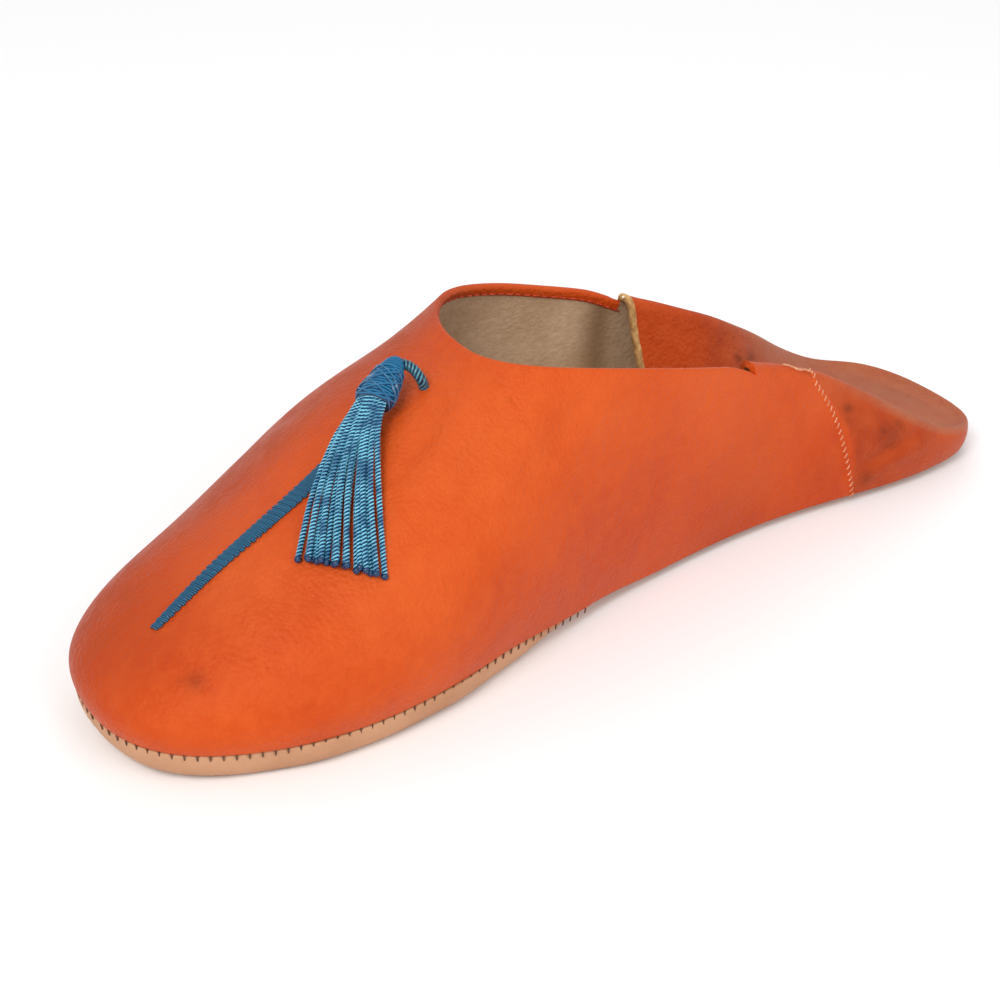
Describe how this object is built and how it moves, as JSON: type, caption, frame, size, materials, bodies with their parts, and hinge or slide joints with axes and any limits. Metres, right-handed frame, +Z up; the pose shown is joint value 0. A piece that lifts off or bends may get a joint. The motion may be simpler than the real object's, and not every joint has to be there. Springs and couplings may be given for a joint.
{
  "type": "babouche slipper",
  "caption": "Slip-on leather slipper for the right foot with a low throat, a trodden-down heel, an embroidered ridge line and a corded tassel.",
  "frame": {"origin": "centre of the bounding box in plan, on the floor under the sole", "axes": "+X to the toe, +Y to the wearer's left, which is the inner side of this right shoe, +Z up"},
  "size_m": [0.2618, 0.0908, 0.0704],
  "materials": {
    "sole_leather": "natural veg-tanned leather, cut edge",
    "sock_leather": "tan lining leather, suede side up",
    "upper_leather": "orange dyed smooth leather, satin",
    "heel_leather": "orange dyed smooth leather, darkened by wear",
    "stripe_thread": "blue satin stitch",
    "cord_thread": "dark blue twisted cord",
    "knot_thread": "blue silky thread, wound",
    "strand_thread": "blue twisted silky cord"
  },
  "bodies": {
    "root": {"outsole": "sole_leather", "insole": "sock_leather", "upper": "upper_leather", "heel_counter": "heel_leather", "embroidered_stripe": "stripe_thread", "tassel_cord": "cord_thread", "tassel_head": "knot_thread", "tassel_skirt": "strand_thread"}
  },
  "joints": []
}
